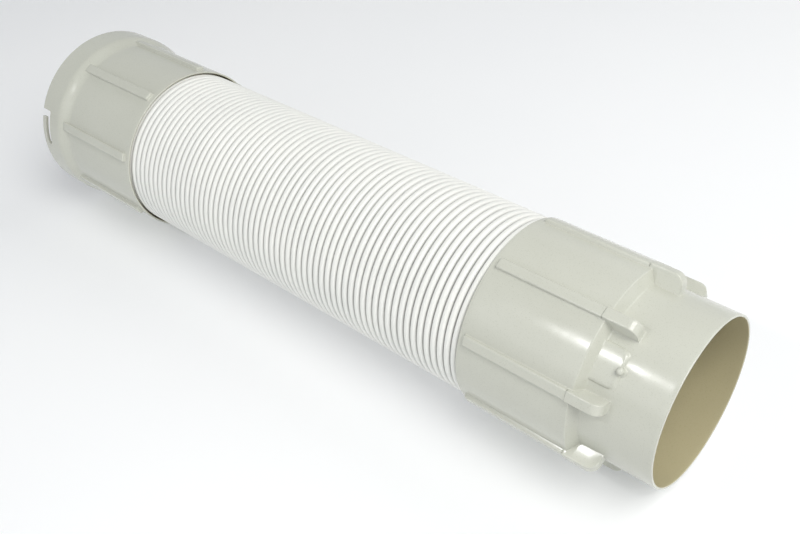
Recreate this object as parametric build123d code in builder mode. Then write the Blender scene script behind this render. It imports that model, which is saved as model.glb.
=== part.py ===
from build123d import *
import math
import os

# Flexible exhaust-air duct of a portable air conditioner, lying on the floor with its axis along X.
# +X points to the window end, -X to the appliance end, +Z is up.
# The origin is on the floor, under the middle of the duct.
# Angles round the axis are measured from the top towards -Y, in degrees. All lengths are in millimetres.

# ---- Hose wall: one strip of flat-crowned convolutions with bevelled shoulders ----
HOSE_RADIUS = 65.0
PITCH = 5.6
FOLD_DEPTH = 6.4
HOSE_WALL = 0.8
GROOVE = 1.1
CROWN_BEVEL = 1.2

# ---- Where the hose gives: cells of three convolutions with one sliding and one tilting station ----
CELLS = 20
CELL_TURNS = 3
SLIDE_AFTER_TURN = 1
TILT_AFTER_TURN = 2
TUCKED_TURNS = 5
STATION_GAP = 0.4

# ---- Both couplings ----
RIB_COUNT = 8
FIRST_RIB_ANGLE = 22.5
RIB_WIDTH = 7.4
RIB_ROUND = 1.1
RIB_SETBACK = 4.5
THREAD_TURNS = (2, 4)
THREAD_WIDTH = 0.5
THREAD_DEPTH = 3.0

# ---- Window coupling: collar, conical shoulder and spigot ----
WINDOW_LENGTH = 135.0
WINDOW_COLLAR_RADIUS = 67.0
WINDOW_COLLAR_WALL = 1.5
WINDOW_COLLAR_LENGTH = 82.0
WINDOW_RIB_RADIUS = 69.6
SHOULDER_LENGTH = 4.0
SPIGOT_RADIUS = 58.0
SPIGOT_ROOT_RADIUS = 58.8
SPIGOT_TAPER_END = 106.0
SPIGOT_WALL = 1.8

BLOCK_START = 79.5
BLOCK_END = 102.5
BLOCK_RADIUS = 70.2
BLOCK_NOSE = 7.0
BLOCK_ROUND = 0.8

PEG_ANGLES = (45.0, 225.0)
PEG_AT = 102.0
PEG_RADIUS = 2.3
PEG_HEIGHT = 5.6
PEG_DOME = 1.8
PAD_RADIUS = 59.8
PAD_SPAN = 25.0
PAD_END = 102.5
PAD_RAMP = 1.5

# ---- Appliance coupling: collar, swelling to a socket ring with two bayonet slots ----
APPLIANCE_LENGTH = 116.0
APPLIANCE_COLLAR_RADIUS = 67.8
APPLIANCE_COLLAR_WALL = 1.5
APPLIANCE_RIB_RADIUS = 70.6
APPLIANCE_RIB_FOOT = 28.0
RING_RADIUS = 72.0
RING_WALL = 2.2
RING_LENGTH = 21.0
SWELL_LENGTH = 14.0
SOCKET_DEPTH = 15.0

SLOT_ANGLES = (61.5, 241.5)
SLOT_SETBACK = 5.0
SLOT_WIDTH = 5.6
SLOT_SWEEP = 24.5
SLOT_MOUTH_SWEEP = 5.2

# ---- Derived places ----
hose_length = CELLS * CELL_TURNS * PITCH
total_length = APPLIANCE_LENGTH + hose_length + WINDOW_LENGTH
rim_x = -total_length / 2
mouth_x = total_length / 2
appliance_lip_x = rim_x + APPLIANCE_LENGTH
window_lip_x = mouth_x - WINDOW_LENGTH
axis_height = RING_RADIUS
outer_floor = HOSE_RADIUS - FOLD_DEPTH
inner_floor = outer_floor - HOSE_WALL

duct_axis = Axis((0, 0, axis_height), (1, 0, 0))

os.makedirs("parts", exist_ok=True)


def save(part, name):
    part.label = name
    export_step(part, f"parts/{name}.step")


def profile_plane(angle=0.0):
    """The half plane through the duct's axis at an angle: local X runs along the duct, local Y outwards."""
    turn = math.radians(angle)
    across = (0, -math.cos(turn), -math.sin(turn))
    return Plane(origin=(0, 0, axis_height), x_dir=(1, 0, 0), z_dir=across)


def rib_angles():
    return [FIRST_RIB_ANGLE + index * 360 / RIB_COUNT for index in range(RIB_COUNT)]


# ---- Hose ----


def convolution(x_start, radius, half_width, bevel, floor_radius):
    """One side of a convolution: up one flank, over the bevelled crown and down the other flank."""
    middle = x_start + PITCH / 2
    left, right = middle - half_width, middle + half_width
    Polyline(
        (left, floor_radius),
        (left, radius - bevel),
        (left + bevel, radius),
        (right - bevel, radius),
        (right, radius - bevel),
        (right, floor_radius),
    )


def fold_floors(x_left, x_right, starts, half_groove, floor_radius):
    """The straight pieces between the convolutions on one side of the wall, and out to both ends."""
    edges = [x_left]
    for start in starts:
        edges += [start + half_groove, start + PITCH - half_groove]
    edges.append(x_right)
    for low, high in zip(edges[::2], edges[1::2]):
        Line((low, floor_radius), (high, floor_radius))


def hose_section(x_start, turns, gap_left=STATION_GAP / 2, gap_right=STATION_GAP / 2):
    """A run of convolutions of one wall thickness, turned about the duct's axis."""
    x_left = x_start + gap_left
    x_right = x_start + turns * PITCH - gap_right
    starts = [x_start + index * PITCH for index in range(turns)]
    outer_half = (PITCH - GROOVE) / 2
    inner_half = outer_half - HOSE_WALL
    inner_bevel = CROWN_BEVEL - HOSE_WALL / 2
    with BuildPart() as section:
        with BuildSketch(profile_plane()):
            with BuildLine():
                for start in starts:
                    convolution(start, HOSE_RADIUS, outer_half, CROWN_BEVEL, outer_floor)
                    convolution(start, HOSE_RADIUS - HOSE_WALL, inner_half, inner_bevel, inner_floor)
                fold_floors(x_left, x_right, starts, GROOVE / 2, outer_floor)
                fold_floors(x_left, x_right, starts, GROOVE / 2 + HOSE_WALL, inner_floor)
                Line((x_left, inner_floor), (x_left, outer_floor))
                Line((x_right, inner_floor), (x_right, outer_floor))
            make_face()
        revolve(axis=duct_axis)
    return section.part


def make_hose():
    """Both tucked ends and, between them, the short runs that part at each station."""
    tucked = TUCKED_TURNS * PITCH
    appliance_end = hose_section(appliance_lip_x - tucked, TUCKED_TURNS + SLIDE_AFTER_TURN, gap_left=0)
    save(appliance_end, "hose_end_appliance")
    stations = []
    for cell in range(CELLS):
        stations.append(cell * CELL_TURNS + SLIDE_AFTER_TURN)
        stations.append(cell * CELL_TURNS + TILT_AFTER_TURN)
    for index, (first, last) in enumerate(zip(stations, stations[1:]), start=1):
        section = hose_section(appliance_lip_x + first * PITCH, last - first)
        save(section, f"hose_turns_{index:02d}")
    last_station = window_lip_x - (CELL_TURNS - TILT_AFTER_TURN) * PITCH
    window_turns = TUCKED_TURNS + CELL_TURNS - TILT_AFTER_TURN
    save(hose_section(last_station, window_turns, gap_right=0), "hose_end_window")


# ---- Shared features of the couplings ----


def rounded_rib(x_start, x_end, foot_radius, top_radius, nose, edge_round):
    """A rib along the top of the duct, its far end rounded down in side view, its outer edges eased."""
    with BuildPart() as rib:
        with BuildSketch(profile_plane()):
            with BuildLine():
                Line((x_start, foot_radius), (x_start, top_radius))
                Line((x_start, top_radius), (x_end - nose, top_radius))
                RadiusArc((x_end - nose, top_radius), (x_end, top_radius - nose), nose)
                Line((x_end, top_radius - nose), (x_end, foot_radius))
                Line((x_end, foot_radius), (x_start, foot_radius))
            make_face()
        extrude(amount=RIB_WIDTH / 2, both=True)
        top_edges = rib.edges().filter_by(Axis.X).group_by(Axis.Z)[-1]
        nose_edges = rib.edges().filter_by(GeomType.CIRCLE)
        fillet(top_edges + nose_edges, edge_round)
    return rib.part


def thread_ridges(lip_x, inward, bore_radius):
    """Ridges inside a collar that stand in the grooves of the hose's tucked turns."""
    middle = bore_radius + HOSE_WALL / 2 - THREAD_DEPTH / 2
    with BuildPart() as ridges:
        with BuildSketch(profile_plane()):
            with Locations(*[(lip_x + inward * turn * PITCH, middle) for turn in THREAD_TURNS]):
                Rectangle(THREAD_WIDTH, THREAD_DEPTH + HOSE_WALL)
        revolve(axis=duct_axis)
    return ridges.part


# ---- Window coupling ----


def peg_pad(angle):
    """A low pad on the spigot, between the foot of the shoulder and the peg."""
    base = SPIGOT_RADIUS - SPIGOT_WALL / 2
    foot_x = window_lip_x + WINDOW_COLLAR_LENGTH + SHOULDER_LENGTH / 2
    pad_x = window_lip_x + PAD_END
    with BuildPart() as pad:
        with BuildSketch(profile_plane(angle - PAD_SPAN / 2)):
            with BuildLine():
                Polyline(
                    (foot_x, base),
                    (foot_x, PAD_RADIUS),
                    (pad_x - PAD_RAMP, PAD_RADIUS),
                    (pad_x, SPIGOT_RADIUS),
                    (pad_x, base),
                    close=True,
                )
            make_face()
        revolve(axis=duct_axis, revolution_arc=PAD_SPAN)
    return pad.part


def peg(angle):
    turn = math.radians(angle)
    outward = Vector(0, -math.sin(turn), math.cos(turn))
    root = Vector(window_lip_x + PEG_AT, 0, axis_height) + outward * (SPIGOT_RADIUS - SPIGOT_WALL / 2)
    with BuildPart() as pin:
        with BuildSketch(Plane(origin=root, z_dir=outward)):
            Circle(PEG_RADIUS)
        extrude(amount=PEG_HEIGHT + SPIGOT_WALL / 2)
        tip = pin.edges().sort_by_distance(root)[-1]
        fillet(tip, PEG_DOME)
    return pin.part


def make_window_coupling():
    lip = window_lip_x
    collar_end = lip + WINDOW_COLLAR_LENGTH
    shoulder_end = collar_end + SHOULDER_LENGTH
    bore = WINDOW_COLLAR_RADIUS - WINDOW_COLLAR_WALL
    spigot_bore = SPIGOT_RADIUS - SPIGOT_WALL
    rib = rounded_rib(
        lip + RIB_SETBACK,
        lip + BLOCK_START + RIB_ROUND,
        bore + WINDOW_COLLAR_WALL / 2,
        WINDOW_RIB_RADIUS,
        RIB_ROUND,
        RIB_ROUND,
    )
    block = rounded_rib(
        lip + BLOCK_START,
        lip + BLOCK_END,
        SPIGOT_RADIUS - SPIGOT_WALL / 2,
        BLOCK_RADIUS,
        BLOCK_NOSE,
        BLOCK_ROUND,
    )
    with BuildPart() as coupling:
        for angle in rib_angles():
            add(block.rotate(duct_axis, angle))
        with BuildSketch(profile_plane()):
            with BuildLine():
                Polyline(
                    (lip, 0),
                    (lip, bore),
                    (collar_end - WINDOW_COLLAR_WALL, bore),
                    (shoulder_end - WINDOW_COLLAR_WALL, spigot_bore),
                    (shoulder_end - WINDOW_COLLAR_WALL, 0),
                    close=True,
                )
            make_face()
        revolve(axis=duct_axis, mode=Mode.SUBTRACT)
        with BuildSketch(profile_plane()):
            with BuildLine():
                Polyline(
                    (lip, bore),
                    (lip, WINDOW_COLLAR_RADIUS),
                    (collar_end, WINDOW_COLLAR_RADIUS),
                    (shoulder_end, SPIGOT_ROOT_RADIUS),
                    (lip + SPIGOT_TAPER_END, SPIGOT_RADIUS),
                    (mouth_x, SPIGOT_RADIUS),
                    (mouth_x, spigot_bore),
                    (shoulder_end - WINDOW_COLLAR_WALL, spigot_bore),
                    (collar_end - WINDOW_COLLAR_WALL, bore),
                    close=True,
                )
            make_face()
        revolve(axis=duct_axis)
        add(thread_ridges(lip, 1, bore))
        for angle in rib_angles():
            add(rib.rotate(duct_axis, angle))
        for angle in PEG_ANGLES:
            add(peg_pad(angle))
            add(peg(angle))
    save(coupling.part, "window_coupling")


# ---- Appliance coupling ----


def slot_run(start_angle, setback, length, sweep):
    """A cutter through the socket ring, length long from a setback behind the rim, swept round the axis."""
    inside = RING_RADIUS - RING_WALL - 1
    outside = RING_RADIUS + 1
    with BuildPart() as run:
        with BuildSketch(profile_plane(start_angle)):
            with Locations((rim_x + setback + length / 2, (inside + outside) / 2)):
                Rectangle(length, outside - inside)
        revolve(axis=duct_axis, revolution_arc=sweep)
    return run.part


def make_appliance_coupling():
    lip = appliance_lip_x
    bore = APPLIANCE_COLLAR_RADIUS - APPLIANCE_COLLAR_WALL
    socket = RING_RADIUS - RING_WALL
    ring_end = rim_x + RING_LENGTH
    swell_end = ring_end + SWELL_LENGTH
    rib = rounded_rib(
        rim_x + APPLIANCE_RIB_FOOT,
        lip - RIB_SETBACK,
        bore + APPLIANCE_COLLAR_WALL / 2,
        APPLIANCE_RIB_RADIUS,
        RIB_ROUND,
        RIB_ROUND,
    )
    with BuildPart() as coupling:
        for angle in rib_angles():
            add(rib.rotate(duct_axis, angle))
        with BuildSketch(profile_plane()):
            with BuildLine():
                Polyline(
                    (rim_x, 0),
                    (rim_x, socket),
                    (rim_x + SOCKET_DEPTH, socket),
                    (swell_end, bore),
                    (lip, bore),
                    (lip, 0),
                    close=True,
                )
            make_face()
        revolve(axis=duct_axis, mode=Mode.SUBTRACT)
        with BuildSketch(profile_plane()):
            with BuildLine():
                Polyline(
                    (ring_end, RING_RADIUS),
                    (rim_x, RING_RADIUS),
                    (rim_x, socket),
                    (rim_x + SOCKET_DEPTH, socket),
                    (swell_end, bore),
                    (lip, bore),
                    (lip, APPLIANCE_COLLAR_RADIUS),
                    (swell_end, APPLIANCE_COLLAR_RADIUS),
                )
                Spline(
                    (swell_end, APPLIANCE_COLLAR_RADIUS),
                    (ring_end, RING_RADIUS),
                    tangents=((-1, 0), (-1, 0)),
                )
            make_face()
        revolve(axis=duct_axis)
        add(thread_ridges(lip, -1, bore))
        for angle in SLOT_ANGLES:
            add(slot_run(angle, -1, SLOT_SETBACK + 2, SLOT_MOUTH_SWEEP), mode=Mode.SUBTRACT)
            add(slot_run(angle, SLOT_SETBACK, SLOT_WIDTH, SLOT_SWEEP), mode=Mode.SUBTRACT)
    save(coupling.part, "appliance_coupling")


make_hose()
make_window_coupling()
make_appliance_coupling()
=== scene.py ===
import math

import bmesh
import bpy
import numpy as np
from mathutils import Matrix, Vector


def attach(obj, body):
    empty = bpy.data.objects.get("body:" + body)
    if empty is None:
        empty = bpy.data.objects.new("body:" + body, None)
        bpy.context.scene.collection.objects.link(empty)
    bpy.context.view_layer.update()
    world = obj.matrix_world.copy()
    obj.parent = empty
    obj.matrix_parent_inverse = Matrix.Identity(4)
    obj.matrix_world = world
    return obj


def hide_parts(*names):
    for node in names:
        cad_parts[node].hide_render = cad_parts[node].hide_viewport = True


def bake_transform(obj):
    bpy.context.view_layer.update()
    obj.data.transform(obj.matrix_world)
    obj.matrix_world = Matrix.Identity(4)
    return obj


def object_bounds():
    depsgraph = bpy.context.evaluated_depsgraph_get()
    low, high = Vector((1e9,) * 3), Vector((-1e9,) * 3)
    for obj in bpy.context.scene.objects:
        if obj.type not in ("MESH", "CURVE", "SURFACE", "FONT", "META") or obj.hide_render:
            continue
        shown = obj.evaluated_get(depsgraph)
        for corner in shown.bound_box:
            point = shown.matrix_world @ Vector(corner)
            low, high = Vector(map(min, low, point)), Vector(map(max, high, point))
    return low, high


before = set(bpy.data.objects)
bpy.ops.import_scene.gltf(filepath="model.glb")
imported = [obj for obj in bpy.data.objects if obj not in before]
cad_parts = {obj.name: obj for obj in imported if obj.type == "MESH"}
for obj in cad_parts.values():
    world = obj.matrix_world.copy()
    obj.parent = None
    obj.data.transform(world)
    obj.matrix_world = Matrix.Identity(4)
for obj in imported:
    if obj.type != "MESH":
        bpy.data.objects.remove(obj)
cad_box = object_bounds()

# Lengths are in millimetres up to metres(), which turns them into the frame's metres.
# Angles round the duct are measured from the top towards -Y, in degrees.

# ---- Hose: a left-handed corrugation, one round-crowned fold per pitch ----
PITCH = 5.6
PITCHES = 60
TUCKED_TURNS = 5
HOSE_RADIUS = 65.0
FOLD_DEPTH = 6.4
HOSE_WALL = 0.8
GROOVE = 1.1
CROWN_SHAPE = 2.5
HOSE_COLUMNS = 144

# ---- Couplings ----
RIB_COUNT = 8
FIRST_RIB_ANGLE = 22.5
RIB_HALF_WIDTH = 3.7
RIB_ROUND = 1.1
FOOT_FILLET = 0.5
RIB_SETBACK = 4.5

WINDOW_LENGTH = 135.0
WINDOW_COLLAR_RADIUS = 67.0
WINDOW_BORE = 65.5
WINDOW_RIB_TOP = 69.6
BLOCK_START = 79.5
BLOCK_END = 102.5
BLOCK_TOP = 70.2
BLOCK_NOSE = 7.0
BLOCK_ROUND = 0.8
PEG_ANGLES = (45.0, 225.0)
PEG_AT = 102.0
PEG_RADIUS = 2.3
PEG_TOP = 63.6
PEG_ROOT = 57.4
PAD_TOP = 59.8
PAD_HALF_SPAN = 12.5
PAD_END = 102.5
PAD_CORNER = 6.0
PAD_ROUND = 1.6
SPIGOT_RADIUS = 58.0
SPIGOT_ROOT_RADIUS = 58.8
SPIGOT_BORE = 56.2
SPIGOT_TAPER_START = 86.0
SPIGOT_TAPER_END = 106.0

APPLIANCE_LENGTH = 116.0
APPLIANCE_RIB_TOP = 70.6
APPLIANCE_RIB_FOOT = 28.0
RING_RADIUS = 72.0
RING_LENGTH = 21.0
SWELL_LENGTH = 14.0
APPLIANCE_COLLAR_RADIUS = 67.8
APPLIANCE_BORE = 66.3
SOCKET_RADIUS = 69.8

SLOT_ANGLES = (61.5, 241.5)
SLOT_SETBACK = 5.0
SLOT_WIDTH = 5.6
SLOT_SWEEP = 24.5
SLOT_MOUTH_SWEEP = 5.2
SLOT_INSIDE = 66.0
SLOT_OUTSIDE = 77.0

# ---- Finishes: colours are linear red, green and blue ----
WHITE = (1.0, 1.0, 1.0)
COUPLING_LIGHT = (0.548, 0.555, 0.488)
COUPLING_DARK = (0.52, 0.525, 0.46)
COUPLING_SPECK = (0.78, 0.78, 0.74)
COUPLING_GLOSS = 0.13
# Painted shade: each coupling's inside takes a darker, yellower colour than its outside, standing in for
# the shade inside the bore.
INSIDE_SHADE_LIGHT = (0.45, 0.405, 0.255)
INSIDE_SHADE_DARK = (0.42, 0.375, 0.235)
INSIDE_SPECK = (0.8, 0.8, 0.7)
INSIDE_GLOSS = 0.3
# Painted shade: the hose's colour greys from its crowns down towards its groove floors.
HOSE_CROWN = (0.81, 0.81, 0.77)
HOSE_FLANK_SHADE = (0.78, 0.78, 0.75)
HOSE_GROOVE_SHADE = (0.46, 0.46, 0.46)
HOSE_SHADE = (0.95, 0.955, 0.96)
FLOOR_DARK = (0.67, 0.675, 0.68)
FLOOR_LIGHT = (0.70, 0.70, 0.70)

# ---- Studio: places and light sizes in metres, powers in watts ----
FLOOR_DROP = 0.0004
FLOOR_GLOW = 0.24
SKY_COLOUR = (0.90, 0.94, 1.0, 1.0)
SKY_STRENGTH = 0.24
LIGHTS = (
    # name, place, target, size, power, colour
    ("window_side_softbox", (0.95, -0.25, 1.25), (0.15, 0, 0.05), 1.0, 17.0, (1.0, 0.995, 0.97)),
    ("back_softbox", (0.55, 1.0, 1.2), (0.15, 0.35, 0.0), 1.0, 5, (1.0, 0.995, 0.98)),
    ("front_softbox", (-0.2, -1.3, 0.9), (0.0, -0.1, 0.05), 1.0, 1.8, (0.97, 0.985, 1.0)),
    ("flash", (-0.24, -0.93, 1.19), (0.24, 0, 0.1), 0.05, 2.6, (1.0, 1.0, 1.0)),
)
CAMERA_PLACE = (0.4456, -0.3941, 0.5316)
CAMERA_RIGHT = (0.751, 0.6557, -0.0783)
CAMERA_AHEAD = (-0.5378, 0.5385, -0.6487)
CAMERA_LENS = 44.79
CAMERA_SENSOR = 36.0

# ---- Places along the duct ----
MM = 0.001
rim_x = cad_box[0][0] / MM
mouth_x = cad_box[1][0] / MM
appliance_lip_x = rim_x + APPLIANCE_LENGTH
window_lip_x = mouth_x - WINDOW_LENGTH
axis_height = RING_RADIUS
hose_floor = HOSE_RADIUS - FOLD_DEPTH


# ---- Mesh helpers ----


def metres(points):
    return [tuple(value * MM for value in point) for point in points]


def mesh_object(name, points, faces, material):
    mesh = bpy.data.meshes.new(name)
    mesh.from_pydata(metres(points), [], faces)
    mesh.materials.append(material)
    obj = bpy.data.objects.new(name, mesh)
    bpy.context.scene.collection.objects.link(obj)
    return obj


def smooth(obj, sharp_angle=None):
    mesh = obj.data
    mesh.polygons.foreach_set("use_smooth", [True] * len(mesh.polygons))
    if sharp_angle is not None:
        mesh.set_sharp_from_angle(angle=math.radians(sharp_angle))
    mesh.update()


def around(x, angle, across, height):
    """A point at x, across to the side and height out from the axis, in the frame turned to an angle."""
    turn = math.radians(angle)
    y = -across * math.cos(turn) - height * math.sin(turn)
    z = -across * math.sin(turn) + height * math.cos(turn)
    return (x, y, axis_height + z)


def loop_faces(rows, columns, open_rows=False):
    """Quads of a grid whose columns close on themselves. Its rows do too, unless they are left open."""
    faces = []
    for row in range(rows - 1 if open_rows else rows):
        below = (row + 1) % rows
        for column in range(columns):
            beside = (column + 1) % columns
            faces.append(
                (
                    row * columns + column,
                    row * columns + beside,
                    below * columns + beside,
                    below * columns + column,
                )
            )
    return faces


def quarter_drop(inset, radius):
    """How far a quarter round lies below its flat, inset from its edge."""
    if inset >= radius:
        return 0.0
    return radius - math.sqrt(max(radius**2 - (radius - inset) ** 2, 0.0))


def corner_inset(first, second, radius):
    """Inset from the outline of a rectangle with rounded corners, from the insets of its two sides."""
    if first >= radius or second >= radius:
        return min(first, second)
    return radius - math.hypot(radius - first, radius - second)


# ---- Hose ----


def crown(half_width, top, height, steps):
    """A superellipse from one flank's foot over the top to the other's: (place across, radius) pairs."""
    pairs = []
    for step in range(steps + 1):
        turn = math.pi * step / steps
        across = math.copysign(abs(math.cos(turn)) ** (2 / CROWN_SHAPE), -math.cos(turn))
        rise = math.sin(turn) ** (2 / CROWN_SHAPE) if 0 < step < steps else 0.0
        pairs.append((PITCH / 2 + half_width * across, top - height + height * rise))
    return pairs


def fold_profile(half_groove, top, floor, steps):
    """One pitch of a wall surface, from groove centre to groove centre."""
    half_width = PITCH / 2 - half_groove
    pairs = [(0.0, floor), (half_groove - 0.04, floor)]
    pairs += crown(half_width, top, half_width, steps)
    pairs += [(PITCH - half_groove + 0.04, floor), (PITCH, floor)]
    return np.array(pairs)


OUTER_FOLD = fold_profile(GROOVE / 2, HOSE_RADIUS, hose_floor, 14)
INNER_FOLD = fold_profile(GROOVE / 2 + HOSE_WALL, HOSE_RADIUS - HOSE_WALL, hose_floor - HOSE_WALL, 8)


def fold_radius(fold, phase):
    return np.interp(np.mod(phase, PITCH), fold[:, 0], fold[:, 1])


def skin_rows(fold, x_start, x_end, angle):
    """Where one side of the wall has its rows at an angle, held between the piece's two ends."""
    shift = PITCH * angle / 360.0
    first = math.floor((x_start - appliance_lip_x) / PITCH)
    last = math.ceil((x_end - appliance_lip_x) / PITCH) + 1
    grooves = appliance_lip_x + PITCH * np.arange(first, last + 1) - shift
    rows = (grooves[:, None] + fold[None, :-1, 0]).ravel()
    return np.clip(rows, x_start, x_end), shift


def skin_grid(fold, x_start, x_end):
    """Points, normals and groove depths of one side of the wall, column by column.

    The last column lies on the first, one fold along, because the groove is a helix.
    """
    points, normals, depths = [], [], []
    for column in range(HOSE_COLUMNS + 1):
        angle = 360.0 * column / HOSE_COLUMNS
        rows, shift = skin_rows(fold, x_start, x_end, angle)
        phase = rows - appliance_lip_x + shift
        radius = fold_radius(fold, phase)
        slope = (fold_radius(fold, phase + 0.02) - fold_radius(fold, phase - 0.02)) / 0.04
        turn = math.radians(angle)
        outward = np.array([0.0, -math.sin(turn), math.cos(turn)])
        points.append(np.column_stack([rows, radius * outward[1], axis_height + radius * outward[2]]))
        flat = np.ones_like(slope)
        normals.append(np.column_stack([-slope, flat * outward[1], flat * outward[2]]))
        depths.append((HOSE_RADIUS - radius) / FOLD_DEPTH)
    return np.array(points), np.array(normals), np.array(depths)


def hose_piece(name, x_start, x_end, material):
    """A closed length of the hose wall between two planes across the duct."""
    outer, outer_normals, outer_depths = skin_grid(OUTER_FOLD, x_start, x_end)
    inner, inner_normals, inner_depths = skin_grid(INNER_FOLD, x_start, x_end)
    points = np.concatenate([outer, inner[:, ::-1]], axis=1)
    normals = np.concatenate([outer_normals, -inner_normals[:, ::-1]], axis=1)
    depths = np.concatenate([outer_depths, inner_depths[:, ::-1]], axis=1)
    columns, rows = points.shape[:2]
    faces = loop_faces(columns, rows, open_rows=True)
    obj = mesh_object(name, points.reshape(-1, 3).tolist(), faces, material)
    mesh = obj.data
    depth = mesh.attributes.new("groove_depth", "FLOAT", "POINT")
    depth.data.foreach_set("value", depths.ravel())
    facing = mesh.attributes.new("skin_normal", "FLOAT_VECTOR", "POINT")
    facing.data.foreach_set("vector", normals.ravel())
    weld(mesh)
    smooth(obj, 70)
    set_skin_normals(mesh)
    return obj


def weld(mesh):
    work = bmesh.new()
    work.from_mesh(mesh)
    bmesh.ops.remove_doubles(work, verts=work.verts, dist=1e-6)
    bmesh.ops.recalc_face_normals(work, faces=work.faces)
    work.to_mesh(mesh)
    work.free()


def set_skin_normals(mesh):
    """The wall's own normals on its skins, so that no seam shows where two pieces meet."""
    facing = np.zeros(len(mesh.vertices) * 3)
    mesh.attributes["skin_normal"].data.foreach_get("vector", facing)
    facing = facing.reshape(-1, 3)
    facing /= np.linalg.norm(facing, axis=1)[:, None]
    corners = np.zeros(len(mesh.loops), dtype=int)
    mesh.loops.foreach_get("vertex_index", corners)
    wanted = facing[corners]
    for polygon in mesh.polygons:
        if abs(polygon.normal.x) > 0.999:
            wanted[polygon.loop_start : polygon.loop_start + polygon.loop_total] = polygon.normal
    mesh.normals_split_custom_set(wanted.tolist())
    mesh.attributes.remove(mesh.attributes["skin_normal"])


def make_hose(material):
    stations = PITCHES * 2 // 3
    bodies = ["hose_end_appliance"]
    bodies += [f"hose_turns_{number:02d}" for number in range(1, stations)]
    bodies.append("hose_end_window")
    span = PITCH * PITCHES / stations
    for index in range(stations):
        start = appliance_lip_x + index * span
        end = start + span
        piece = hose_piece(f"hose_skin_{index + 1:02d}", start, end, material)
        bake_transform(piece)
        if index < stations - 1:
            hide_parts(bodies[index + 1])
    tucked = TUCKED_TURNS * PITCH
    ends = (
        ("hose_end_appliance", appliance_lip_x - tucked, appliance_lip_x),
        ("hose_end_window", window_lip_x, window_lip_x + tucked),
    )
    for body, start, end in ends:
        piece = hose_piece(f"{body}_skin", start, end, material)
        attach(piece, body)
        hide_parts(body)


# ---- Couplings: a profile carried round the axis, with ribs and blocks raised from it ----


def rib_columns():
    """Where the columns of one rib stand, across it."""
    near = [0.0, 1.4, RIB_HALF_WIDTH - 1.1, RIB_HALF_WIDTH - 0.7, RIB_HALF_WIDTH - 0.35]
    near += [RIB_HALF_WIDTH - 0.12, RIB_HALF_WIDTH, RIB_HALF_WIDTH + 0.02]
    near += [RIB_HALF_WIDTH + 0.15, RIB_HALF_WIDTH + FOOT_FILLET, RIB_HALF_WIDTH + 1.2]
    return [-place for place in reversed(near[1:])] + near


def between_columns():
    """Where the columns between two ribs stand, in degrees from the middle."""
    near = [1.6, 4.5, 8.0, 10.0, 11.2, 11.9, 12.3, PAD_HALF_SPAN, 12.7, 14.5]
    return [-place for place in reversed(near)] + [0.0] + near


def columns_round():
    """Every column of a coupling: (angle of its frame, place across, True on a rib)."""
    columns = []
    for index in range(RIB_COUNT):
        angle = FIRST_RIB_ANGLE + index * 360 / RIB_COUNT
        columns += [(angle, across, True) for across in rib_columns()]
        middle = angle + 180 / RIB_COUNT
        columns += [(middle + offset, 0.0, False) for offset in between_columns()]
    return columns


def raised(x, across, start, end, top, edge_round):
    """Height of a rib's or block's top over a point, or None outside it."""
    inset = corner_inset(min(x - start, end - x), RIB_HALF_WIDTH - abs(across), edge_round)
    if inset < -1e-9:
        return None
    return top - quarter_drop(inset, edge_round)


def foot(x, across, start, end, base):
    """Height of the fillet round the foot of a rib or block."""
    outside_x = max(start - x, x - end, 0.0)
    outside_across = max(abs(across) - RIB_HALF_WIDTH, 0.0)
    return base + quarter_drop(math.hypot(outside_x, outside_across), FOOT_FILLET)


def revolve_coupling(name, outer_rows, inner_rows, lift, material):
    """Carries the outer and inner rows round the axis.

    lift(x, angle, across, on_rib, base) raises the outer ones.
    """
    points = []
    columns = columns_round()
    for is_outer, rows in ((True, outer_rows), (False, inner_rows)):
        for x, radius in rows:
            for angle, across, on_rib in columns:
                base = math.sqrt(radius**2 - across**2)
                height = lift(x, angle, across, on_rib, base) if is_outer else base
                points.append((x, angle, across, height))
    placed = [around(*point) for point in points]
    faces = loop_faces(len(outer_rows) + len(inner_rows), len(columns))
    obj = mesh_object(name, placed, faces, material)
    weld(obj.data)
    return obj


def rounded_end(x, radius, towards, inward, size=0.5):
    """Rows that round an end's edge from its skin at radius onto its face at x."""
    rows = []
    for turn in (0, 22.5, 45, 67.5, 90):
        along = size * (1 - math.sin(math.radians(turn)))
        drop = size * (1 - math.cos(math.radians(turn)))
        rows.append((x - towards * along, radius - inward * drop))
    return rows


def shifted(rows, x_origin):
    return [(x_origin + x, radius) for x, radius in rows]


def at_radius(places, radius):
    return [(place, radius) for place in places]


def edge_places(place, sign):
    """Rows close to a raised edge: outside its foot, at it and over its round."""
    offsets = (-1.0, -FOOT_FILLET, -0.15, -0.02, 0.0, 0.12, 0.35, 0.7, 1.1)
    return [place + sign * offset for offset in offsets][::sign]


def spread(start, end, count):
    return [start + (end - start) * (step + 1) / (count + 1) for step in range(count)]


def window_lift(x, angle, across, on_rib, base):
    local = x - window_lip_x
    heights = [base]
    if on_rib:
        heights.append(foot(local, across, RIB_SETBACK, BLOCK_END, base))
        rib = raised(local, across, RIB_SETBACK, BLOCK_START + 2, WINDOW_RIB_TOP, RIB_ROUND)
        if rib is not None and local < BLOCK_START:
            heights.append(rib)
        block = raised(local, across, BLOCK_START, BLOCK_END + BLOCK_ROUND, BLOCK_TOP, BLOCK_ROUND)
        if block is not None and local <= BLOCK_END:
            past = max(local - (BLOCK_END - BLOCK_NOSE), 0.0)
            heights.append(block - (BLOCK_NOSE - math.sqrt(max(BLOCK_NOSE**2 - past**2, 0.0))))
        return max(heights)
    offsets = [abs((angle - peg + 180) % 360 - 180) for peg in PEG_ANGLES]
    side = math.radians(PAD_HALF_SPAN - min(offsets)) * PAD_TOP
    inset = corner_inset(PAD_END - local, side, PAD_CORNER)
    if local > SPIGOT_TAPER_START - 2 and inset >= 0:
        share = min(inset / PAD_ROUND, 1.0)
        skin = taper_radius(local)
        heights.append(skin + (PAD_TOP - skin) * math.sin(share * math.pi / 2) ** 0.8)
    return max(heights)


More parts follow.
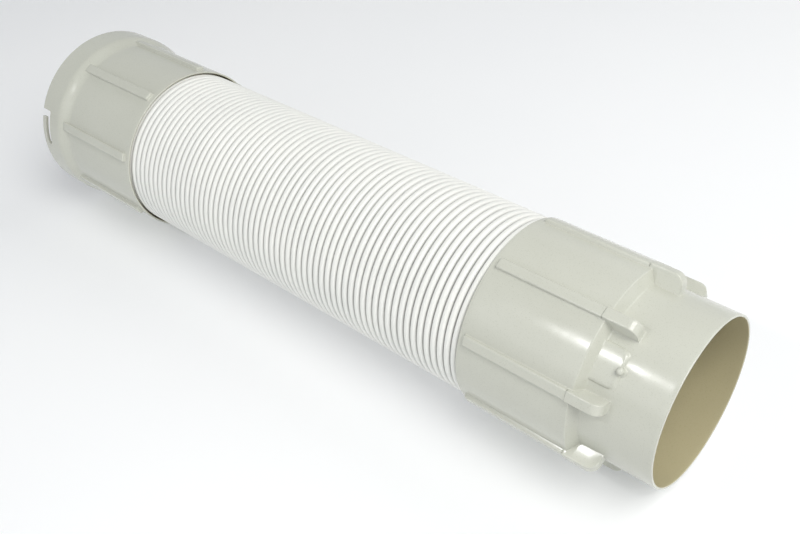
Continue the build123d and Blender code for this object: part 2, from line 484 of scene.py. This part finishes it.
def taper_radius(local):
    """The spigot's skin, which narrows gently from the shoulder's foot to its mouth."""
    share = (local - SPIGOT_TAPER_START) / (SPIGOT_TAPER_END - SPIGOT_TAPER_START)
    return SPIGOT_RADIUS + (SPIGOT_ROOT_RADIUS - SPIGOT_RADIUS) * (1 - min(max(share, 0.0), 1.0)) ** 1.5


def make_window_coupling(plastic, painted_shade_plastic):
    collar, bore = WINDOW_COLLAR_RADIUS, WINDOW_BORE
    outer = rounded_end(0.0, collar, -1, 1)[::-1]
    outer += at_radius(edge_places(RIB_SETBACK, 1), collar)
    outer += at_radius(spread(6, 78, 22), collar)
    outer += at_radius(edge_places(BLOCK_START, 1), collar)
    outer += [(81.6, 67.0), (81.85, 66.95), (82.05, 66.78), (82.3, 66.35)]
    outer += [(83.0, 64.9), (84.0, 62.85), (84.8, 61.2), (85.4, 59.97), (85.75, 59.3), (86.0, 59.0)]
    root = [86.3, 86.8] + spread(86.8, BLOCK_END - BLOCK_NOSE, 4)
    root += [BLOCK_END - past for past in (7.0, 6.0, 5.0, 4.1, 3.3, 2.6, 2.0, 1.5, 1.1, 0.8, 0.5, 0.3)]
    root += [BLOCK_END - past for past in (0.15, 0.06, 0.0, -0.02, -0.15, -0.5, -1.0)]
    root += spread(BLOCK_END + 1.0, SPIGOT_TAPER_END, 2) + [SPIGOT_TAPER_END]
    root += spread(SPIGOT_TAPER_END, 134.5, 10)
    outer += [(x, taper_radius(x)) for x in root]
    outer += rounded_end(WINDOW_LENGTH, SPIGOT_RADIUS, 1, 1)
    inner = rounded_end(WINDOW_LENGTH, SPIGOT_BORE, 1, -1)[::-1]
    inner += at_radius(spread(134.5, 84.6, 14), SPIGOT_BORE)
    inner += [(84.4, 56.25), (84.0, 57.1), (80.6, 65.2), (80.1, 65.5)]
    inner += at_radius(spread(80.1, 0.5, 16), bore)
    inner += rounded_end(0.0, bore, -1, -1)
    coupling = revolve_coupling(
        "window_coupling_body",
        shifted(outer, window_lip_x),
        shifted(inner, window_lip_x),
        window_lift,
        plastic,
    )
    smooth(coupling, 38)
    paint_inside_shade(coupling, painted_shade_plastic, window_lip_x)
    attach(coupling, "window_coupling")
    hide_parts("window_coupling")
    for number, angle in enumerate(PEG_ANGLES, start=1):
        peg = make_peg(f"bayonet_peg_{number}", angle, plastic)
        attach(peg, "window_coupling")


def make_peg(name, angle, material):
    """A turned pin with a fillet at its foot and a rounded top."""
    rows = [(PEG_ROOT, PEG_RADIUS + 0.9), (58.4, PEG_RADIUS + 0.9), (58.6, PEG_RADIUS + 0.45)]
    rows += [(58.9, PEG_RADIUS + 0.15), (59.4, PEG_RADIUS), (PEG_TOP - 1.9, PEG_RADIUS)]
    for turn in (20, 38, 54, 68, 80):
        rise = math.sin(math.radians(turn))
        rows.append((PEG_TOP - 1.9 + 1.9 * rise, PEG_RADIUS * math.cos(math.radians(turn)) ** 0.8))
    sides = 36
    points = []
    for height, radius in rows:
        for side in range(sides):
            turn = math.tau * side / sides
            x = window_lip_x + PEG_AT + radius * math.cos(turn)
            points.append(around(x, angle, radius * math.sin(turn), height))
    points.append(around(window_lip_x + PEG_AT, angle, 0.0, PEG_TOP))
    points.append(around(window_lip_x + PEG_AT, angle, 0.0, PEG_ROOT))
    faces = loop_faces(len(rows), sides)[: (len(rows) - 1) * sides]
    last = (len(rows) - 1) * sides
    for side in range(sides):
        beside = (side + 1) % sides
        faces.append((last + side, last + beside, len(points) - 2))
        faces.append((beside, side, len(points) - 1))
    peg = mesh_object(name, points, faces, material)
    weld(peg.data)
    smooth(peg, 60)
    return peg


def appliance_lift(x, angle, across, on_rib, base):
    local = x - rim_x
    end = APPLIANCE_LENGTH - RIB_SETBACK
    if not on_rib:
        return base
    heights = [base]
    if local > APPLIANCE_RIB_FOOT:
        heights.append(foot(local, across, APPLIANCE_RIB_FOOT, end, base))
    rib = raised(local, across, APPLIANCE_RIB_FOOT, end, APPLIANCE_RIB_TOP, RIB_ROUND)
    if rib is not None:
        heights.append(rib)
    return max(heights)


def swell_rows():
    rows = []
    for step in range(19):
        share = step / 18
        radius = RING_RADIUS - (RING_RADIUS - APPLIANCE_COLLAR_RADIUS) * share**2 * (3 - 2 * share)
        rows.append((RING_LENGTH + SWELL_LENGTH * share, radius))
    return rows


def slot_cutter(start_angle, material):
    """An L-shaped block that stands through the socket ring, from its rim round to the slot's end."""
    mouth_end = start_angle + SLOT_MOUTH_SWEEP
    run_end = start_angle + SLOT_SWEEP
    back = SLOT_SETBACK + SLOT_WIDTH
    outline = [(-2.0, start_angle), (back - 1.5, start_angle), (back - 0.4, start_angle + 0.35)]
    outline += [(back, start_angle + 1.2)]
    outline += [(back, angle) for angle in spread(start_angle + 1.2, run_end - 2.4, 7)]
    for turn in (0, 30, 60, 90, 120, 150, 180):
        across = math.cos(math.radians(turn)) * SLOT_WIDTH / 2
        along = math.sin(math.radians(turn)) * 2.2
        outline.append((back - SLOT_WIDTH / 2 + across, run_end - 2.2 + along))
    outline += [(SLOT_SETBACK, angle) for angle in spread(run_end - 2.4, mouth_end + 0.8, 6)]
    outline += [(SLOT_SETBACK, mouth_end + 0.7), (SLOT_SETBACK - 0.6, mouth_end)]
    outline += [(1.0, mouth_end), (-2.0, mouth_end + 1.0)]
    count = len(outline)
    points = [around(rim_x + x, angle, 0.0, SLOT_INSIDE) for x, angle in outline]
    points += [around(rim_x + x, angle, 0.0, SLOT_OUTSIDE) for x, angle in outline]
    faces = [tuple(range(count)), tuple(range(2 * count - 1, count - 1, -1))]
    faces += [(i, (i + 1) % count, count + (i + 1) % count, count + i) for i in range(count)]
    cutter = mesh_object("slot_cutter", points, faces, material)
    weld(cutter.data)
    return cutter


def carve(obj, cutter):
    """Cuts the cutter out of the object for good, and removes the cutter."""
    cut = obj.modifiers.new("cut", "BOOLEAN")
    cut.operation = "DIFFERENCE"
    cut.solver = "EXACT"
    cut.object = cutter
    bpy.context.view_layer.update()
    evaluated = obj.evaluated_get(bpy.context.evaluated_depsgraph_get())
    result = bpy.data.meshes.new_from_object(evaluated)
    obj.modifiers.remove(cut)
    obj.data = result
    bpy.data.objects.remove(cutter)


def make_appliance_coupling(plastic, painted_shade_plastic):
    collar, bore, socket = APPLIANCE_COLLAR_RADIUS, APPLIANCE_BORE, SOCKET_RADIUS
    end = APPLIANCE_LENGTH - RIB_SETBACK
    outer = rounded_end(0.0, RING_RADIUS, -1, 1, 0.6)[::-1]
    outer += at_radius([2.0, 5.0, 8.0, 10.6, 13.0, 16.0, 19.0], RING_RADIUS)
    outer += swell_rows()
    outer += at_radius(spread(RING_LENGTH + SWELL_LENGTH, end - 1.4, 24), collar)
    outer += at_radius(edge_places(end, -1), collar)
    outer += rounded_end(APPLIANCE_LENGTH, collar, 1, 1)
    inner = rounded_end(APPLIANCE_LENGTH, bore, 1, -1)[::-1]
    inner += at_radius(spread(APPLIANCE_LENGTH - 0.5, 36.2, 16), bore)
    inner += [(35.6, 66.33), (34.4, 66.42), (16.2, 69.58), (15.3, 69.76), (14.4, socket)]
    inner += at_radius([12.0, 10.6, 8.0, 5.0, 2.0], socket)
    inner += rounded_end(0.0, socket, -1, -1, 0.6)
    coupling = revolve_coupling(
        "appliance_coupling_body",
        shifted(outer, rim_x),
        shifted(inner, rim_x),
        appliance_lift,
        plastic,
    )
    for angle in SLOT_ANGLES:
        carve(coupling, slot_cutter(angle, plastic))
    smooth(coupling, 38)
    paint_inside_shade(coupling, painted_shade_plastic, rim_x)
    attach(coupling, "appliance_coupling")
    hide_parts("appliance_coupling")


def paint_inside_shade(obj, material, x_origin):
    """Gives the faces that look at the duct's axis the inside colour, darker and yellower than the
    outside: painted shade inside the bore.
    """
    mesh = obj.data
    mesh.materials.append(material)
    for polygon in mesh.polygons:
        out = polygon.center - Vector((polygon.center.x, 0, axis_height * MM))
        if polygon.normal.dot(out) < -0.5 * out.length:
            polygon.material_index = 1


# ---- Materials ----


def new_material(name):
    material = bpy.data.materials.new(name)
    material.use_nodes = True
    nodes = material.node_tree.nodes
    return material, nodes, material.node_tree.links, nodes["Principled BSDF"]


def noise(nodes, links, coordinates, scale, detail=2.0):
    texture = nodes.new("ShaderNodeTexNoise")
    texture.inputs["Scale"].default_value = scale
    texture.inputs["Detail"].default_value = detail
    links.new(coordinates.outputs["Object"], texture.inputs["Vector"])
    return texture


def ramp(nodes, links, source, stops):
    """A colour ramp over a source value: stops are (place, colour)."""
    colours = nodes.new("ShaderNodeValToRGB")
    elements = colours.color_ramp.elements
    while len(elements) < len(stops):
        elements.new(0.5)
    for element, (place, colour) in zip(elements, stops):
        element.position = place
        element.color = (*colour, 1.0)
    links.new(source, colours.inputs["Fac"])
    return colours.outputs["Color"]


def spread_value(nodes, links, source, low, high):
    """Maps a noise value onto low to high."""
    mapped = nodes.new("ShaderNodeMapRange")
    mapped.inputs["From Min"].default_value = 0.3
    mapped.inputs["From Max"].default_value = 0.7
    mapped.inputs["To Min"].default_value = low
    mapped.inputs["To Max"].default_value = high
    links.new(source, mapped.inputs["Value"])
    return mapped.outputs["Result"]


def mix_colours(nodes, links, first, second, blend_type, amount):
    mixed = nodes.new("ShaderNodeMix")
    mixed.data_type = "RGBA"
    mixed.blend_type = blend_type
    mixed.inputs["Factor"].default_value = amount
    links.new(first, mixed.inputs["A"])
    links.new(second, mixed.inputs["B"])
    return mixed.outputs["Result"]


def bump(nodes, links, height, strength, distance, before=None):
    node = nodes.new("ShaderNodeBump")
    node.inputs["Strength"].default_value = strength
    node.inputs["Distance"].default_value = distance
    links.new(height, node.inputs["Height"])
    if before is not None:
        links.new(before, node.inputs["Normal"])
    return node.outputs["Normal"]


def moulded_plastic(name, light, dark, speck, gloss):
    """Moulded plastic: slow drifts of tone, fine specks, a slightly wavy skin and a fine grain."""
    material, nodes, links, surface = new_material(name)
    coordinates = nodes.new("ShaderNodeTexCoord")
    drift = noise(nodes, links, coordinates, 14.0)
    specks = noise(nodes, links, coordinates, 1400.0)
    tone = ramp(nodes, links, drift.outputs["Fac"], [(0.3, dark), (0.7, light)])
    dots = ramp(nodes, links, specks.outputs["Fac"], [(0.30, speck), (0.42, WHITE)])
    links.new(mix_colours(nodes, links, tone, dots, "MULTIPLY", 0.5), surface.inputs["Base Color"])
    smears = noise(nodes, links, coordinates, 60.0, 4.0)
    rough = spread_value(nodes, links, smears.outputs["Fac"], gloss, gloss + 0.10)
    links.new(rough, surface.inputs["Roughness"])
    waves = noise(nodes, links, coordinates, 45.0)
    grain = noise(nodes, links, coordinates, 900.0, 3.0)
    skin = bump(nodes, links, waves.outputs["Fac"], 0.18, 0.0008)
    skin = bump(nodes, links, grain.outputs["Fac"], 0.12, 0.0001, skin)
    links.new(skin, surface.inputs["Normal"])
    surface.inputs["IOR"].default_value = 1.5
    return material


def hose_plastic(name):
    """Blown white strip: white on the crowns, with painted shade greying it down in the grooves."""
    material, nodes, links, surface = new_material(name)
    coordinates = nodes.new("ShaderNodeTexCoord")
    depth = nodes.new("ShaderNodeAttribute")
    depth.attribute_name = "groove_depth"
    # Painted shade: greyer the deeper into a groove.
    stops = [(0.0, HOSE_CROWN), (0.25, HOSE_FLANK_SHADE), (0.8, HOSE_GROOVE_SHADE)]
    tone = ramp(nodes, links, depth.outputs["Fac"], stops)
    drift = noise(nodes, links, coordinates, 22.0)
    shade = ramp(nodes, links, drift.outputs["Fac"], [(0.3, HOSE_SHADE), (0.7, WHITE)])
    links.new(mix_colours(nodes, links, tone, shade, "MULTIPLY", 1.0), surface.inputs["Base Color"])
    smears = noise(nodes, links, coordinates, 90.0, 4.0)
    links.new(spread_value(nodes, links, smears.outputs["Fac"], 0.34, 0.5), surface.inputs["Roughness"])
    ripples = noise(nodes, links, coordinates, 160.0)
    grain = noise(nodes, links, coordinates, 1200.0, 3.0)
    skin = bump(nodes, links, ripples.outputs["Fac"], 0.25, 0.0004)
    skin = bump(nodes, links, grain.outputs["Fac"], 0.12, 0.0001, skin)
    links.new(skin, surface.inputs["Normal"])
    return material


def floor_material():
    material, nodes, links, surface = new_material("studio_floor")
    coordinates = nodes.new("ShaderNodeTexCoord")
    drift = noise(nodes, links, coordinates, 2.0)
    tone = ramp(nodes, links, drift.outputs["Fac"], [(0.3, FLOOR_DARK), (0.7, FLOOR_LIGHT)])
    links.new(tone, surface.inputs["Base Color"])
    surface.inputs["Roughness"].default_value = 0.7
    surface.inputs["Emission Color"].default_value = (0.96, 0.98, 1.0, 1.0)
    surface.inputs["Emission Strength"].default_value = FLOOR_GLOW
    return material


# ---- Stage, light and camera ----


def make_floor():
    """A pale floor that sweeps up into a wall all round, so that no horizon shows from any side."""
    sweep = [(1.0, 0.0), (1700.0, 0.0), (1950.0, 12.0), (2200.0, 60.0), (2450.0, 170.0)]
    sweep += [(2650.0, 340.0), (2800.0, 560.0), (2900.0, 820.0), (2950.0, 1150.0), (2960.0, 2200.0)]
    sides = 96
    points = []
    for radius, height in sweep:
        for side in range(sides):
            turn = math.tau * side / sides
            points.append((radius * math.cos(turn), radius * math.sin(turn), height))
    faces = loop_faces(len(sweep), sides, open_rows=True)
    faces.append(tuple(range(sides)))
    floor = mesh_object("studio_floor", points, faces, floor_material())
    smooth(floor)
    floor.location.z = -FLOOR_DROP


def soft_light(name, place, target, size, power, colour):
    light = bpy.data.lights.new(name, "AREA")
    light.shape = "DISK"
    light.size = size
    light.energy = power
    light.color = colour
    obj = bpy.data.objects.new(name, light)
    aim = (Vector(target) - Vector(place)).to_track_quat("-Z", "Y")
    obj.matrix_world = Matrix.LocRotScale(Vector(place), aim, None)
    bpy.context.scene.collection.objects.link(obj)


def make_light():
    world = bpy.data.worlds.new("studio")
    world.use_nodes = True
    sky = world.node_tree.nodes["Background"]
    sky.inputs["Color"].default_value = SKY_COLOUR
    sky.inputs["Strength"].default_value = SKY_STRENGTH
    bpy.context.scene.world = world
    for light in LIGHTS:
        soft_light(*light)
    bpy.context.scene.view_settings.view_transform = "Standard"


def make_camera():
    lens = bpy.data.cameras.new("main_view")
    lens.lens = CAMERA_LENS
    lens.sensor_width = CAMERA_SENSOR
    camera = bpy.data.objects.new("main_view", lens)
    right = Vector(CAMERA_RIGHT).normalized()
    ahead = Vector(CAMERA_AHEAD).normalized()
    up = right.cross(ahead).normalized()
    turned = Matrix((right, up, -ahead)).transposed()
    camera.matrix_world = Matrix.LocRotScale(Vector(CAMERA_PLACE), turned.to_quaternion(), None)
    bpy.context.scene.collection.objects.link(camera)
    bpy.context.scene.camera = camera


white_strip = hose_plastic("hose_plastic_finish")
beige = moulded_plastic(
    "coupling_plastic_finish", COUPLING_LIGHT, COUPLING_DARK, COUPLING_SPECK, COUPLING_GLOSS
)
# The inside material paints the bore's shade into its colour.
inside_painted_shade = moulded_plastic(
    "coupling_inside_painted_shade", INSIDE_SHADE_LIGHT, INSIDE_SHADE_DARK, INSIDE_SPECK, INSIDE_GLOSS
)

make_camera()
make_hose(white_strip)
make_window_coupling(beige, inside_painted_shade)
make_appliance_coupling(beige, inside_painted_shade)
make_floor()
make_light()
